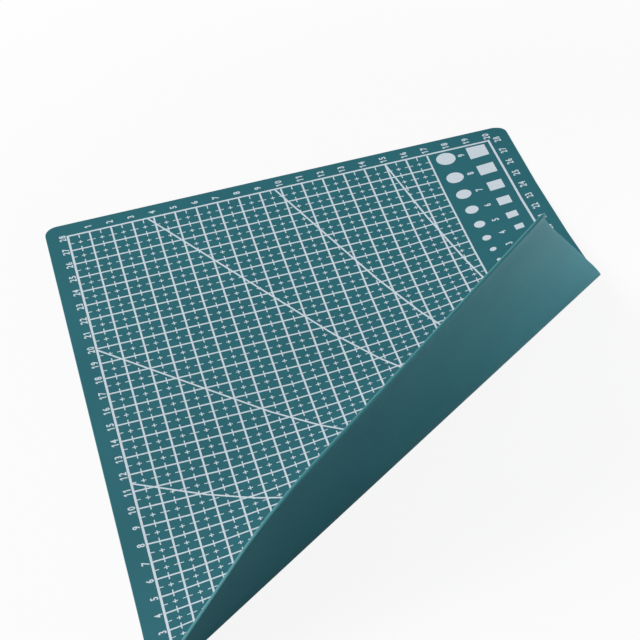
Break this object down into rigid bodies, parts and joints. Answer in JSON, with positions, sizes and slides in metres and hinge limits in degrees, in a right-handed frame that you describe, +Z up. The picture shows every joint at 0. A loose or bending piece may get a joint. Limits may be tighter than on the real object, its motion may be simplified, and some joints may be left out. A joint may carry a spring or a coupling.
{
  "type": "self healing cutting mat",
  "caption": "Thin flexible self-healing cutting mat with a centimetre grid, angle lines and gauge marks, one corner curled up and over; it uncurls to lie flat.",
  "frame": {"origin": "on the underside of the mat, under the centre of the flat 300 by 220 mm sheet, at desk height", "axes": "+Z up, out of the printed face; +Y along the long side, away from the curled corner; +X along the short side, towards the gauge column"},
  "size_m": [0.2214, 0.2966, 0.1232],
  "materials": {
    "mat_skin": "satin, fine pebble, soft vinyl",
    "mat_core": "satin, lighter, seen at the cut edge only",
    "print_ink": "matt screen-printing ink"
  },
  "bodies": {
    "main_panel": {"back_skin_00": "mat_skin", "core_00": "mat_core", "front_skin_00": "mat_skin", "print_00": "print_ink"},
    "resting_strip": {"back_skin_01": "mat_skin", "core_01": "mat_core", "front_skin_01": "mat_skin", "print_01": "print_ink"},
    "strip_02": {"back_skin_02": "mat_skin", "core_02": "mat_core", "front_skin_02": "mat_skin", "print_02": "print_ink"},
    "strip_03": {"back_skin_03": "mat_skin", "core_03": "mat_core", "front_skin_03": "mat_skin", "print_03": "print_ink"},
    "strip_04": {"back_skin_04": "mat_skin", "core_04": "mat_core", "front_skin_04": "mat_skin", "print_04": "print_ink"},
    "strip_05": {"back_skin_05": "mat_skin", "core_05": "mat_core", "front_skin_05": "mat_skin", "print_05": "print_ink"},
    "strip_06": {"back_skin_06": "mat_skin", "core_06": "mat_core", "front_skin_06": "mat_skin", "print_06": "print_ink"},
    "strip_07": {"back_skin_07": "mat_skin", "core_07": "mat_core", "front_skin_07": "mat_skin", "print_07": "print_ink"},
    "strip_08": {"back_skin_08": "mat_skin", "core_08": "mat_core", "front_skin_08": "mat_skin", "print_08": "print_ink"},
    "strip_09": {"back_skin_09": "mat_skin", "core_09": "mat_core", "front_skin_09": "mat_skin", "print_09": "print_ink"},
    "strip_10": {"back_skin_10": "mat_skin", "core_10": "mat_core", "front_skin_10": "mat_skin", "print_10": "print_ink"},
    "strip_11": {"back_skin_11": "mat_skin", "core_11": "mat_core", "front_skin_11": "mat_skin", "print_11": "print_ink"},
    "strip_12": {"back_skin_12": "mat_skin", "core_12": "mat_core", "front_skin_12": "mat_skin", "print_12": "print_ink"},
    "strip_13": {"back_skin_13": "mat_skin", "core_13": "mat_core", "front_skin_13": "mat_skin", "print_13": "print_ink"},
    "tip": {"back_skin_14": "mat_skin", "core_14": "mat_core", "front_skin_14": "mat_skin", "print_14": "print_ink"}
  },
  "joints": [
    {"name": "fold_01", "type": "hinge", "parent": "resting_strip", "child": "main_panel", "pos_m": [-0.00157, 0.03454, 0.0012], "axis": [-0.6846, -0.729, 0], "range_deg": [-3.6, 6]},
    {"name": "fold_02", "type": "hinge", "parent": "resting_strip", "child": "strip_02", "pos_m": [0, -0.00173, 0.0012], "axis": [0.7385, 0.6743, 0], "range_deg": [-3.6, 6]},
    {"name": "fold_03", "type": "hinge", "parent": "strip_02", "child": "strip_03", "pos_m": [-0.00009, -0.03459, 0.00374], "axis": [0.7877, 0.616, 0.008], "range_deg": [-3.6, 6]},
    {"name": "fold_04", "type": "hinge", "parent": "strip_03", "child": "strip_04", "pos_m": [-0.00029, -0.05259, 0.00664], "axis": [0.8151, 0.5791, 0.0177], "range_deg": [-4.89, 8.15]},
    {"name": "fold_05", "type": "hinge", "parent": "strip_04", "child": "strip_05", "pos_m": [-0.00049, -0.05866, 0.00834], "axis": [0.8241, 0.5659, 0.0236], "range_deg": [-4.89, 8.15]},
    {"name": "fold_06", "type": "hinge", "parent": "strip_05", "child": "strip_06", "pos_m": [-0.00087, -0.06436, 0.01067], "axis": [0.8323, 0.5534, 0.0316], "range_deg": [-4.89, 8.15]},
    {"name": "fold_07", "type": "hinge", "parent": "strip_06", "child": "strip_07", "pos_m": [-0.00146, -0.06963, 0.01355], "axis": [0.8395, 0.5417, 0.0417], "range_deg": [-4.89, 8.15]},
    {"name": "fold_08", "type": "hinge", "parent": "strip_07", "child": "strip_08", "pos_m": [-0.00231, -0.07441, 0.01691], "axis": [0.8456, 0.5312, 0.0536], "range_deg": [-4.89, 8.15]},
    {"name": "fold_09", "type": "hinge", "parent": "strip_08", "child": "strip_09", "pos_m": [-0.00344, -0.07866, 0.02066], "axis": [0.8503, 0.5219, 0.0671], "range_deg": [-4.89, 8.15]},
    {"name": "fold_10", "type": "hinge", "parent": "strip_09", "child": "strip_10", "pos_m": [-0.00408, -0.08186, 0.02479], "axis": [0.8537, 0.5143, 0.0819], "range_deg": [-4.89, 8.15]},
    {"name": "fold_11", "type": "hinge", "parent": "strip_10", "child": "strip_11", "pos_m": [-0.00301, -0.08329, 0.0294], "axis": [0.8557, 0.5082, 0.0977], "range_deg": [-4.89, 8.15]},
    {"name": "fold_12", "type": "hinge", "parent": "strip_11", "child": "strip_12", "pos_m": [0.00826, -0.08729, 0.06462], "axis": [-0.8537, -0.4761, -0.211], "range_deg": [-5.2, 8.67]},
    {"name": "fold_13", "type": "hinge", "parent": "strip_12", "child": "strip_13", "pos_m": [0.01254, -0.08796, 0.07213], "axis": [-0.8537, -0.4662, -0.2321], "range_deg": [-5.2, 8.67]},
    {"name": "fold_14", "type": "hinge", "parent": "strip_13", "child": "tip", "pos_m": [0.01818, -0.08912, 0.07962], "axis": [-0.8551, -0.4534, -0.2515], "range_deg": [-5.2, 8.67]}
  ],
  "couplings": [
    {"joint": "fold_01", "follows": "fold_03", "ratio": 1},
    {"joint": "fold_02", "follows": "fold_03", "ratio": 1},
    {"joint": "fold_04", "follows": "fold_03", "ratio": 1.3583},
    {"joint": "fold_05", "follows": "fold_03", "ratio": 1.3583},
    {"joint": "fold_06", "follows": "fold_03", "ratio": 1.3583},
    {"joint": "fold_07", "follows": "fold_03", "ratio": 1.3583},
    {"joint": "fold_08", "follows": "fold_03", "ratio": 1.3583},
    {"joint": "fold_09", "follows": "fold_03", "ratio": 1.3583},
    {"joint": "fold_10", "follows": "fold_03", "ratio": 1.3583},
    {"joint": "fold_11", "follows": "fold_03", "ratio": 1.3583},
    {"joint": "fold_12", "follows": "fold_03", "ratio": 1.4444},
    {"joint": "fold_13", "follows": "fold_03", "ratio": 1.4444},
    {"joint": "fold_14", "follows": "fold_03", "ratio": 1.4444}
  ]
}
